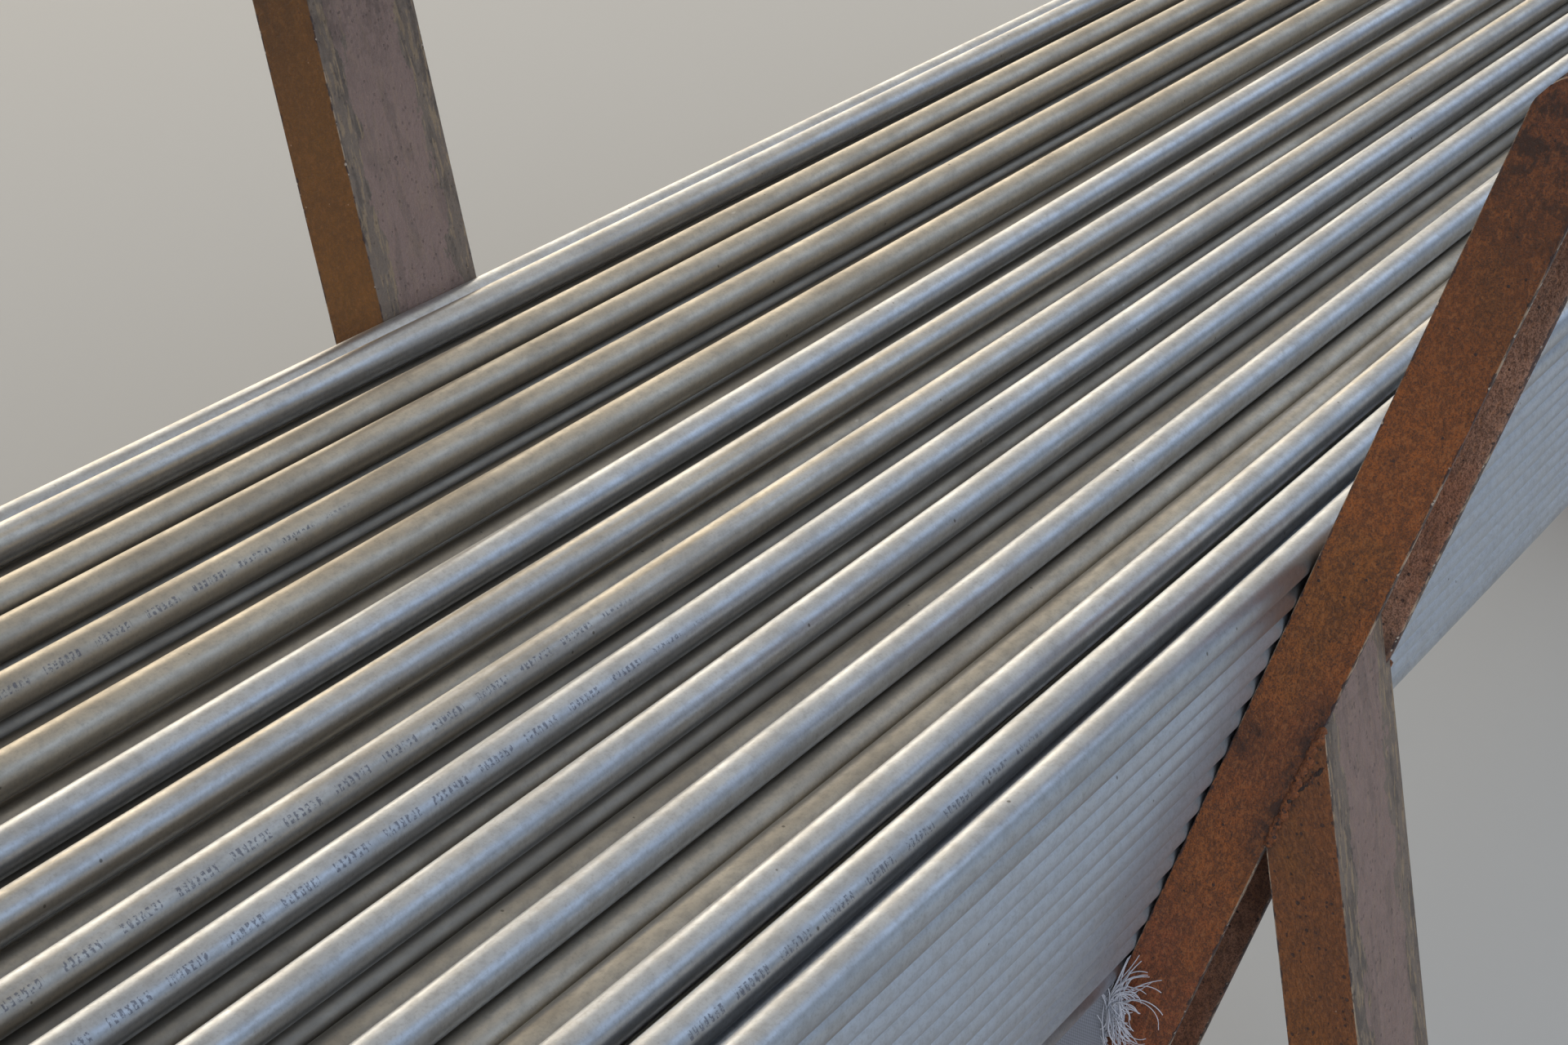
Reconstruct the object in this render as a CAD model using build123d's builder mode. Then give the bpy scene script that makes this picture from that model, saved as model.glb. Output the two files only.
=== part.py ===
from build123d import *
import math
import os

# A bundle of loose round tubes that lies in a rack of three welded frames. Millimetres,
# X along the tubes, Z up. The origin is on the floor under the middle of the bundle.
os.makedirs("parts", exist_ok=True)

# Tubes
tube_od = 25.4
tube_wall = 2.11
tube_length = 6000.0
tube_gap = 0.3

# Tubes that stand one above the other against each arm, between the bottom row and the upper one
column_count = 12

# Loose tubes on top of the upper row, right to left: where the tube's middle lies, as a share of
# the way from arm to arm, and how far the tube's end has drifted sideways from there
loose_tubes = [
    (-0.0085, 0.0),
    (0.0391, -2.0),
    (0.0909, -3.0),
    (0.1985, 1.0),
    (0.2922, 3.0),
    (0.3659, -10.0),
    (0.4359, -5.0),
    (0.5187, -4.0),
    (0.5846, 4.0),
    (0.6654, 8.0),
    (0.7520, 0.5),
    (0.8209, 5.0),
    (0.8723, 8.0),
    (0.9507, 3.0),
    (1.0052, 0.0),
]

# Rolled channel that every member of the rack is cut from
channel_depth = 120.0
channel_width = 52.0
web_thickness = 4.8
flange_thickness = 7.8
root_radius = 7.5
toe_radius = 3.0

# Rack frames. The arms' backs hold the bundle, and a strut props each arm from outside.
# Both half widths are taken at the reference height.
frame_names = ["near", "middle", "far"]
frame_pitch = 2000.0
sides = {"right": -1, "left": 1}
arm_lean = 16.2
strut_lean = 13.2
reference_height = 580.0
trough_half_width = 317.8
strut_half_spread = 421.0
arm_top = 1150.0
arm_corner_radius = 38.0
beam_top = 420.0
sill_overhang = 30.0

# Woven padding strip between the bottom row of tubes and each cross beam. Its lip hangs down
# in front of the beam and reaches past the arms' backs.
strip_thickness = 5.0
strip_overhang = 9.0
strip_drop = 75.0
strip_end_gap = 6.0
strip_lip_reach = 22.0
strip_fold_radius = 4.0
soft_gap = 0.3

tube_radius = tube_od / 2
bore_radius = tube_radius - tube_wall
tube_pitch = tube_od + tube_gap
sill_top = channel_width
arm_sin = math.sin(math.radians(arm_lean))
arm_cos = math.cos(math.radians(arm_lean))
strut_sin = math.sin(math.radians(strut_lean))
strut_cos = math.cos(math.radians(strut_lean))
bottom_row_height = beam_top + soft_gap + strip_thickness + soft_gap + tube_radius


# Half the trough's width between the backs of the arms at a height
def trough_half(height):
    return trough_half_width + (height - reference_height) * arm_sin / arm_cos


# Half the spread between the backs of the struts at a height
def strut_half(height):
    return strut_half_spread - (height - reference_height) * strut_sin / strut_cos


# How far from the middle a tube's centre is when it lies against an arm at a height
def wall_seat(height):
    return trough_half(height) - (tube_radius + tube_gap) / arm_cos


# Height of the tube that is so many places up the column against an arm
def column_height(place):
    return bottom_row_height + place * tube_pitch * arm_cos


# Centres of as many tubes as fit side by side from arm to arm. A tight row leaves its spare
# room at the left arm, and any other row shares it out between the tubes.
def row_centres(height, tight):
    seat = wall_seat(height)
    spaces = math.floor(2 * seat / tube_pitch)
    spacing = tube_pitch if tight else 2 * seat / spaces
    return [(spacing * place - seat, height) for place in range(spaces + 1)]


# Centres of the tubes that lie one above the other against an arm, under the upper row
def column_centres(side):
    heights = [column_height(place) for place in range(1, column_count + 1)]
    return [(side * wall_seat(height), height) for height in heights]


# Height at which a tube comes to rest on the tubes below it, clear of them all along its drift.
# Where none of them is near it lies beside the last one
def rest_height(place, drift, below):
    heights = [below[-1][1]]
    for other_place, other_height in below:
        nearest = max(abs(other_place - place) - abs(drift), 0.0)
        if nearest < tube_pitch:
            heights.append(other_height + math.sqrt(tube_pitch**2 - nearest**2))
    return max(heights)


# Section of one tube
def tube_section():
    Circle(tube_radius)
    Circle(bore_radius, mode=Mode.SUBTRACT)


# One node of tubes that run straight along X
def straight_tubes(label, centres):
    with BuildPart() as tubes:
        with BuildSketch(Plane.YZ.offset(-tube_length / 2)):
            with Locations(*centres):
                tube_section()
        extrude(amount=tube_length)
    tubes.part.label = label
    export_step(tubes.part, f"parts/{label}.step")


# The tubes left on top, each turned a little so that its ends drift from its middle
def loose_top_tubes(label, below):
    seat = wall_seat(upper_height)
    with BuildPart() as tubes:
        for share, drift in loose_tubes:
            place = seat * (2 * share - 1)
            middle = (0, place, rest_height(place, drift, below))
            along = (tube_length / 2, drift, 0)
            with BuildSketch(Plane(origin=middle, x_dir=(0, 0, 1), z_dir=along)):
                tube_section()
            extrude(amount=tube_length / 2, both=True)
    tubes.part.label = label
    export_step(tubes.part, f"parts/{label}.step")


# One plain solid in the place of the tubes that the outer ones hide. Its sides follow the
# columns, and its top lies under the upper row.
def inner_core(label):
    bottom = bottom_row_height + tube_radius + tube_gap
    top = upper_height - tube_radius - tube_gap
    side_gap = (tube_od + 2 * tube_gap) / arm_cos
    low_half = trough_half(bottom) - side_gap
    high_half = trough_half(top) - side_gap
    with BuildPart() as core:
        with BuildSketch(Plane.YZ.offset(-tube_length / 2)):
            with BuildLine():
                Polyline(
                    (-low_half, bottom), (low_half, bottom), (high_half, top), (-high_half, top), close=True
                )
            make_face()
        extrude(amount=tube_length)
    core.part.label = label
    export_step(core.part, f"parts/{label}.step")


# Section of the channel: the back of its web on the local X axis, its flanges towards +Y
def channel_section():
    between_flanges = channel_depth - 2 * flange_thickness
    centred = (Align.CENTER, Align.MIN)
    Rectangle(channel_depth, channel_width, align=centred)
    with Locations((0, web_thickness)):
        Rectangle(between_flanges, channel_width, align=centred, mode=Mode.SUBTRACT)
    roots = vertices().group_by(Axis.Y)[1]
    fillet(roots, root_radius)
    toes = vertices().group_by(Axis.Y)[-1].sort_by(Axis.X)[1:3]
    fillet(toes, toe_radius)


# Plane of an arm's back, or one further out, facing away from the tubes
def arm_plane(side, x, out=0.0):
    back = Plane(
        origin=(x, side * trough_half_width, reference_height),
        x_dir=(1, 0, 0),
        z_dir=(0, side * arm_cos, -arm_sin),
    )
    return back.offset(out)


# A leaning arm, with its back to the tubes, its foot on the sill and its top corner rounded
def rack_arm(label, side, x):
    along = Vector(0, side * arm_sin, arm_cos)
    outward = Vector(0, side * arm_cos, -arm_sin)
    foot = Vector(x, side * trough_half(sill_top), sill_top)
    length = (arm_top - sill_top) / arm_cos
    lengthened = channel_width * arm_sin / arm_cos
    with BuildPart() as arm:
        with BuildSketch(Plane(origin=foot, x_dir=(side, 0, 0), z_dir=along).offset(-lengthened)):
            channel_section()
        extrude(amount=length + lengthened)
        split(bisect_by=Plane.XY.offset(sill_top), keep=Keep.TOP)
        with BuildSketch(Plane(origin=foot + along * length, x_dir=outward, z_dir=(side, 0, 0))):
            Rectangle(arm_corner_radius, arm_corner_radius, align=(Align.MIN, Align.MAX))
            with Locations((arm_corner_radius, -arm_corner_radius)):
                Circle(arm_corner_radius, mode=Mode.SUBTRACT)
        extrude(amount=channel_depth / 2, both=True, mode=Mode.SUBTRACT)
    arm.part.label = label
    export_step(arm.part, f"parts/{label}.step")


# A strut with its back outwards. Its flanges are cut to the sill below and to the arm's toes
# above, and its web runs on between the arm's flanges as far as their roots.
def rack_strut(label, side, x):
    along = Vector(0, -side * strut_sin, strut_cos)
    foot = Vector(x, side * strut_half(sill_top), sill_top)
    lengthened = channel_width * strut_sin / strut_cos
    start = Plane(origin=foot, x_dir=(-side, 0, 0), z_dir=along).offset(-lengthened)
    with BuildPart() as strut:
        with BuildSketch(start):
            channel_section()
        extrude(amount=arm_top - sill_top)
        split(bisect_by=arm_plane(side, x, out=channel_width), keep=Keep.TOP)
        with BuildSketch(start):
            Rectangle(channel_depth - 2 * flange_thickness, web_thickness, align=(Align.CENTER, Align.MIN))
        extrude(amount=arm_top - sill_top)
        split(bisect_by=Plane.XY.offset(sill_top), keep=Keep.TOP)
        split(bisect_by=arm_plane(side, x, out=web_thickness + root_radius), keep=Keep.TOP)
    strut.part.label = label
    export_step(strut.part, f"parts/{label}.step")


# A beam from arm to arm under the bundle, with its web up and its ends cut to the arms' lean
def cross_beam(label, x):
    with BuildPart() as beam:
        with BuildSketch(Plane(origin=(x, 0, beam_top), x_dir=(1, 0, 0), z_dir=(0, 1, 0))):
            channel_section()
        extrude(amount=trough_half(beam_top) + channel_width, both=True)
        for side in sides.values():
            split(bisect_by=arm_plane(side, x), keep=Keep.BOTTOM)
    beam.part.label = label
    export_step(beam.part, f"parts/{label}.step")


# The sill on the floor that the arms and struts stand on, with its web up
def floor_sill(label, x):
    with BuildPart() as sill:
        with BuildSketch(Plane(origin=(x, 0, sill_top), x_dir=(1, 0, 0), z_dir=(0, 1, 0))):
            channel_section()
        extrude(amount=strut_half(sill_top) + sill_overhang, both=True)
    sill.part.label = label
    export_step(sill.part, f"parts/{label}.step")


# The padding strip, laid over the beam and folded down in front of it
def padding_strip(label, x):
    front = x - channel_depth / 2 - strip_overhang
    back = x + channel_depth / 2 + strip_overhang
    top = beam_top + soft_gap + strip_thickness
    on_beam = trough_half(beam_top) - strip_end_gap
    lip = trough_half(beam_top - strip_drop) + strip_lip_reach
    with BuildPart() as strip:
        with BuildSketch(Plane.XZ):
            with BuildLine():
                Polyline(
                    (front, top - strip_drop),
                    (front, top),
                    (back, top),
                    (back, top - strip_thickness),
                    (front + strip_thickness, top - strip_thickness),
                    (front + strip_thickness, top - strip_drop),
                    close=True,
                )
            make_face()
            fillet(vertices().group_by(Axis.Y)[-1].sort_by(Axis.X)[0], strip_fold_radius)
        extrude(amount=on_beam, both=True)
        with BuildSketch(Plane.XY.offset(top - strip_thickness)):
            with Locations((front, 0)):
                Rectangle(strip_thickness, 2 * lip, align=(Align.MIN, Align.CENTER))
        extrude(amount=strip_thickness - strip_drop)
    strip.part.label = label
    export_step(strip.part, f"parts/{label}.step")


upper_height = column_height(column_count + 1)
upper_row = row_centres(upper_height, tight=True)

straight_tubes("bottom_row_tubes", row_centres(bottom_row_height, tight=False))
straight_tubes("right_column_tubes", column_centres(sides["right"]))
straight_tubes("left_column_tubes", column_centres(sides["left"]))
straight_tubes("upper_row_tubes", upper_row)
loose_top_tubes("loose_top_tubes", upper_row)
inner_core("inner_tubes")

for number, frame in enumerate(frame_names):
    x = (number - (len(frame_names) - 1) / 2) * frame_pitch
    for side_name, side in sides.items():
        rack_arm(f"{frame}_{side_name}_arm", side, x)
        rack_strut(f"{frame}_{side_name}_strut", side, x)
    cross_beam(f"{frame}_cross_beam", x)
    floor_sill(f"{frame}_floor_sill", x)
    padding_strip(f"{frame}_padding_strip", x)
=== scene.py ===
import math

import bpy
import numpy as np
from bpy.props import FloatProperty, FloatVectorProperty, IntProperty, PointerProperty
from mathutils import Matrix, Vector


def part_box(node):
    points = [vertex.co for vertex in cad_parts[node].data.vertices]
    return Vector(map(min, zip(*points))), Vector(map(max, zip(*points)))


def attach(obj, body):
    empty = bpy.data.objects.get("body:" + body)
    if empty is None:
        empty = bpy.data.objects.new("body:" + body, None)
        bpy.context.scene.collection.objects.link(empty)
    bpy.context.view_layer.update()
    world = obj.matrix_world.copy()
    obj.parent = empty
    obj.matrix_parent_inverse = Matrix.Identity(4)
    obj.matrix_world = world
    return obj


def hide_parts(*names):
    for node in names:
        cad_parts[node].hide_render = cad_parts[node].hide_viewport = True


bl_info = {
    "name": "Tube bundle in a rack",
    "version": (1, 0, 0),
    "blender": (4, 5, 0),
    "location": "3D View > Sidebar > Tube bundle",
    "description": "Dresses the packed tube bundle and its rack with finished surfaces",
    "category": "Object",
}

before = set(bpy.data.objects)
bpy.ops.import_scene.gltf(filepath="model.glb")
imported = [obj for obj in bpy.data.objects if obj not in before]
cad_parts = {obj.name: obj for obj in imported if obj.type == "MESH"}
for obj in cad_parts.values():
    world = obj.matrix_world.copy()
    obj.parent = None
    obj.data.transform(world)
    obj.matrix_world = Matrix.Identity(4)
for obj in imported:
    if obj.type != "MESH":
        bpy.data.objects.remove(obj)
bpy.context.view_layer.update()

# Every length is in metres. What the frame's nodes show is measured on them.
MM = 0.001
# Degrees past which an edge stays sharp
CREASE = 38.0
ROOT = "root"
FRAMES = ("near", "middle", "far")
SIDES = {"right": -1.0, "left": 1.0}


def node_span(node, axis):
    """Lowest and highest value of a CAD node along one axis."""
    low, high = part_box(node)
    return low[axis], high[axis]


def node_size(node, axis):
    """Size of a CAD node along one axis."""
    low, high = node_span(node, axis)
    return high - low


def length(name, description, default):
    """A length that a user may change."""
    return FloatProperty(name=name, description=description, default=default, unit="LENGTH", precision=5)


def colour(name, description, default):
    """A colour that a user may change."""
    return FloatVectorProperty(
        name=name, description=description, default=default, subtype="COLOR", size=3, min=0.0, max=1.0
    )


def angle(name, description, default):
    """An angle that a user may change."""
    return FloatProperty(name=name, description=description, default=default, subtype="ANGLE")


class TubeSettings(bpy.types.PropertyGroup):
    """Sizes and colours of the tubes"""

    outer: length("Outer diameter", "Across a tube", node_size("bottom_row_tubes", 2))
    wall: length("Wall", "Thickness of a tube's wall", 2.11 * MM)
    run: length("Length", "Length of every tube", node_size("bottom_row_tubes", 0))
    gap: length("Gap", "Clear space between neighbours", 0.3 * MM)
    bow: length("Bow", "How far a loose tube bends from straight", 0.8 * MM)
    pale: colour("Pale metal", "The cleanest metal", (0.62, 0.65, 0.69))
    dull: colour("Dull metal", "Metal under the dull grey film", (0.52, 0.545, 0.58))
    film: colour("Film", "Thin beige film on the warmer tubes", (0.64, 0.59, 0.505))
    stain: colour("Stain", "Brown film on the least clean stretches", (0.45, 0.40, 0.33))
    ink: colour("Ink", "Colour of the printed dashes", (0.05, 0.055, 0.10))


class RackSettings(bpy.types.PropertyGroup):
    """Sizes and colours of the rack"""

    depth: length("Channel depth", "Across the web", node_size("middle_floor_sill", 0))
    width: length("Channel width", "Across a flange", node_size("middle_floor_sill", 2))
    web: length("Web", "Thickness of the web", 4.8 * MM)
    flange: length("Flange", "Thickness of a flange", 7.8 * MM)
    root: length("Root radius", "Inside curve between web and flange", 7.5 * MM)
    toe: length("Toe radius", "Curve at a flange's inner edge", 3.0 * MM)
    arm_lean: angle("Arm lean", "An arm's angle from upright", math.radians(16.2))
    strut_lean: angle("Strut lean", "A strut's angle from upright", math.radians(13.2))
    orange: colour("Orange rust", "Most of the flanges", (0.395, 0.113, 0.025))
    red: colour("Red rust", "Redder patches", (0.310, 0.083, 0.032))
    ochre: colour("Ochre rust", "Yellower patches", (0.300, 0.107, 0.022))
    faded: colour("Faded paint", "Grey-pink paint on the webs' backs", (0.285, 0.195, 0.165))
    worn: colour("Worn paint", "Olive grey along the webs' edges", (0.200, 0.158, 0.122))
    mustard: colour("Mustard rust", "Smooth yellow-brown skin of the left arms", (0.190, 0.092, 0.016))
    scale: colour("Dark scale", "Bare scale in chips and pits", (0.035, 0.024, 0.024))


class StripSettings(bpy.types.PropertyGroup):
    """Sizes and colours of the padding strips"""

    thickness: length("Thickness", "Of the woven strip", 3.2 * MM)
    rib: length("Rib pitch", "Distance between two ribs of the weave", 2.6 * MM)
    threads: IntProperty(name="Threads", description="Loose threads at a frayed end", default=58, min=0)
    yarn: colour("Yarn", "Grey woven yarn", (0.30, 0.315, 0.37))
    fray: colour("Frayed yarn", "Pale ends of the loose threads", (0.62, 0.62, 0.68))


class StageSettings(bpy.types.PropertyGroup):
    """The camera and the plain studio"""

    lens: FloatProperty(name="Lens", description="Focal length in millimetres", default=74.47)
    yaw: angle("Yaw", "Left of the tubes' direction", 0.5155)
    pitch: angle("Pitch", "Downward tilt", 0.4364)
    roll: angle("Roll", "Sideways tilt", -0.0524)
    place: FloatVectorProperty(
        name="Camera place", description="In the object's frame", size=3, default=(-1.8854, -1.0157, 1.6842)
    )
    floor: colour("Floor", "Plain pale floor", (0.62, 0.62, 0.61))
    sky: colour("Sky", "Even light from all round", (0.80, 0.88, 1.0))
    sky_strength: FloatProperty(name="Sky strength", description="Of the even light", default=0.16, min=0.0)


# Making meshes


def add_mesh(name, points, faces, material, replaced=(), crease=CREASE):
    """Makes one finished piece of the object from an array of points and a list of faces."""
    mesh = bpy.data.meshes.new(name)
    mesh.from_pydata(points.reshape(-1, 3).tolist(), [], faces)
    mesh.polygons.foreach_set("use_smooth", np.ones(len(mesh.polygons), dtype=bool))
    mesh.set_sharp_from_angle(angle=math.radians(crease))
    mesh.materials.append(material)
    piece = bpy.data.objects.new(name, mesh)
    bpy.context.scene.collection.objects.link(piece)
    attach(piece, ROOT)
    if replaced:
        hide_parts(*replaced)
    return piece


def grid_faces(rows, columns, wrap_rows=False, wrap_columns=False, first=0):
    """Quads of a grid of points, row by row, closed on itself in either direction where asked."""
    index = np.arange(rows * columns).reshape(rows, columns) + first
    if wrap_rows:
        index = np.vstack([index, index[:1]])
    if wrap_columns:
        index = np.hstack([index, index[:, :1]])
    quads = np.stack([index[:-1, :-1], index[:-1, 1:], index[1:, 1:], index[1:, :-1]], axis=-1)
    return quads.reshape(-1, 4).tolist()


def point_attribute(piece, name, values):
    """Stores one number or one vector for each point of a piece."""
    kind, field = ("FLOAT_VECTOR", "vector") if values.ndim > 1 else ("FLOAT", "value")
    attribute = piece.data.attributes.new(name, kind, "POINT")
    attribute.data.foreach_set(field, values.astype(np.float32).ravel())


class Shell:
    """Points, faces and point attributes of several closed surfaces that become one piece"""

    def __init__(self):
        self.points, self.faces, self.values, self.count = [], [], {}, 0

    def add(self, points, faces, **values):
        """Adds one surface. Its faces count from its own first point."""
        points = points.reshape(-1, 3)
        self.points.append(points)
        self.faces += [tuple(corner + self.count for corner in face) for face in faces]
        for name, value in values.items():
            self.values.setdefault(name, []).append(value)
        self.count += len(points)

    def piece(self, name, material, slot, replaced=(), crease=CREASE):
        """Makes the piece and stores its attributes."""
        made = add_mesh(name, np.vstack(self.points), self.faces, material, replaced, crease)
        for label, values in self.values.items():
            point_attribute(made, label, np.concatenate(values))
        return made


def bead_surface(path, radius, sides, flat=1.0, up=(0.0, 0.0, 1.0)):
    """A closed round bar: at each point of the path stands a ring of the given radius, pressed flatter
    along one side axis, and the ends close on their middle points."""
    path = np.asarray(path, dtype=float)
    tangent = np.gradient(path, axis=0)
    tangent /= np.linalg.norm(tangent, axis=1, keepdims=True)
    side = np.cross(tangent, np.asarray(up, dtype=float))
    side /= np.linalg.norm(side, axis=1, keepdims=True)
    rise = np.cross(side, tangent)
    turn = np.arange(sides) * 2 * math.pi / sides
    radius = np.broadcast_to(radius, len(path))[:, None, None]
    ring = side[:, None] * np.cos(turn)[None, :, None] + rise[:, None] * np.sin(turn)[None, :, None] * flat
    rings = path[:, None] + ring * radius
    points = np.vstack([rings.reshape(-1, 3), path[:1], path[-1:]])
    faces = [face[::-1] for face in grid_faces(len(path), sides, False, True)]
    last = (len(path) - 1) * sides
    start, end = len(path) * sides, len(path) * sides + 1
    following = np.roll(np.arange(sides), -1)
    faces += [(start, int(b), int(a))[::-1] for a, b in zip(range(sides), following)]
    faces += [(end, last + int(a), last + int(b))[::-1] for a, b in zip(range(sides), following)]
    return points, faces


# Shader nodes


def add_node(tree, kind, inputs=(), **settings):
    """Adds a shader node, sets its options, and links or sets its inputs."""
    node = tree.nodes.new(kind)
    for key, value in settings.items():
        setattr(node, key, value)
    for key, value in dict(inputs).items():
        if isinstance(value, bpy.types.NodeSocket):
            tree.links.new(value, node.inputs[key])
        else:
            node.inputs[key].default_value = value
    return node


def calculate(tree, operation, a, b=0.0, c=0.0):
    """Output of a math node."""
    return add_node(tree, "ShaderNodeMath", {0: a, 1: b, 2: c}, operation=operation).outputs[0]


def fade(tree, mask, share):
    """A mask at a share of its strength, which may be another mask."""
    return calculate(tree, "MULTIPLY", mask, share)


def mix_colour(tree, factor, a, b):
    """Output of a colour mix. A plain colour is given as three numbers."""
    a, b = (value if isinstance(value, bpy.types.NodeSocket) else (*value, 1.0) for value in (a, b))
    return add_node(tree, "ShaderNodeMix", {0: factor, 6: a, 7: b}, data_type="RGBA").outputs[2]


def layered(tree, base, *layers):
    """A colour under masked tints, each a pair of mask and colour, from the lowest to the topmost."""
    for mask, tint in layers:
        base = mix_colour(tree, mask, base, tint)
    return base


def ramp(tree, value, low, high, bottom=0.0, top=1.0):
    """A value carried smoothly from bottom to top between two limits."""
    inputs = {"Value": value, "From Min": low, "From Max": high, "To Min": bottom, "To Max": top}
    node = add_node(tree, "ShaderNodeMapRange", inputs, interpolation_type="SMOOTHSTEP", clamp=True)
    return node.outputs["Result"]


def scaled(tree, vector, scale):
    """A vector with each part multiplied."""
    return add_node(tree, "ShaderNodeVectorMath", {0: vector, 1: scale}, operation="MULTIPLY").outputs[0]


def noise(tree, vector, scale, detail=3.0, rough=0.55):
    """Value of a noise texture, stretched by a different scale along each axis."""
    inputs = {"Vector": scaled(tree, vector, scale), "Scale": 1.0, "Detail": detail, "Roughness": rough}
    return add_node(tree, "ShaderNodeTexNoise", inputs).outputs["Fac"]


def attribute(tree, name, output="Fac"):
    """Output of a stored attribute."""
    return add_node(tree, "ShaderNodeAttribute", attribute_name=name).outputs[output]


def bump(tree, shader, height, strength, distance):
    """Feeds a height into a shader's normal."""
    inputs = {"Strength": strength, "Distance": distance, "Height": height}
    tree.links.new(add_node(tree, "ShaderNodeBump", inputs).outputs["Normal"], shader.inputs["Normal"])


def new_material(name):
    """An empty material with its Principled shader."""
    material = bpy.data.materials.new(name)
    material.use_nodes = True
    return material, material.node_tree, material.node_tree.nodes["Principled BSDF"]


def shared_group(name, sockets, output, build):
    """A shader node group with named inputs and one value output, built once."""
    if name not in bpy.data.node_groups:
        group = bpy.data.node_groups.new(name, "ShaderNodeTree")
        for label, kind in sockets:
            group.interface.new_socket(label, in_out="INPUT", socket_type=kind)
        group.interface.new_socket(output, in_out="OUTPUT", socket_type="NodeSocketFloat")
        source = group.nodes.new("NodeGroupInput")
        result = group.nodes.new("NodeGroupOutput")
        group.links.new(build(group, source.outputs), result.inputs[output])
    return bpy.data.node_groups[name]


def placed(tree, group, inputs):
    """Output of a shared group placed in a material."""
    return add_node(tree, "ShaderNodeGroup", inputs, node_tree=group).outputs[0]


def specks(tree, vector, scale, size, share):
    """Small spots of uneven size: near the point of a cell whose drawn number is under the share."""

    def build(group, given):
        cells = add_node(group, "ShaderNodeTexVoronoi", {"Vector": given["Vector"], "Scale": given["Scale"]})
        drawn = add_node(group, "ShaderNodeSeparateColor", {0: cells.outputs["Color"]})
        kept = calculate(group, "LESS_THAN", drawn.outputs[0], given["Share"])
        reach = fade(group, given["Size"], drawn.outputs[1])
        edge = calculate(group, "SUBTRACT", reach, cells.outputs["Distance"])
        return fade(group, kept, ramp(group, edge, 0.0, 0.06))

    sockets = [(label, "NodeSocketFloat") for label in ("Scale", "Size", "Share")]
    group = shared_group("Specks", [("Vector", "NodeSocketVector"), *sockets], "Mask", build)
    return placed(tree, group, {"Vector": vector, "Scale": scale, "Size": size, "Share": share})


def ragged_edge(tree, gap, width, jitter, vector, scale):
    """Wear along an edge: where the distance to the edge, shifted by noise, is under a width."""

    def build(group, given):
        rough = noise(group, given["Vector"], (1.0, 1.0, 1.0), 4.0, 0.62)
        shift = fade(group, calculate(group, "SUBTRACT", rough, 0.5), given["Jitter"])
        worn = calculate(group, "SUBTRACT", calculate(group, "ADD", given["Width"], shift), given["Gap"])
        return ramp(group, worn, -0.0004, 0.0006)

    sockets = [(label, "NodeSocketFloat") for label in ("Gap", "Width", "Jitter")]
    group = shared_group("Ragged edge", [("Vector", "NodeSocketVector"), *sockets], "Mask", build)
    inputs = {"Vector": scaled(tree, vector, scale), "Gap": gap, "Width": width, "Jitter": jitter}
    return placed(tree, group, inputs)


def print_mask(tree, place, pickle):
    """Where the ink lies: strokes gathered into words along a tube, within the print's band, and broken
    by the pickled grain."""
    along = add_node(tree, "ShaderNodeSeparateXYZ", {0: place}).outputs[0]
    stroke = calculate(tree, "LESS_THAN", calculate(tree, "FRACT", fade(tree, along, 210.0)), 0.6)
    word = calculate(tree, "LESS_THAN", calculate(tree, "FRACT", fade(tree, along, 23.0)), 0.72)
    in_band = ramp(tree, attribute(tree, "ink_band"), 0.5, 0.6)
    printed = fade(tree, fade(tree, stroke, word), in_band)
    return fade(tree, printed, ramp(tree, pickle, 0.42, 0.56))


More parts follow.
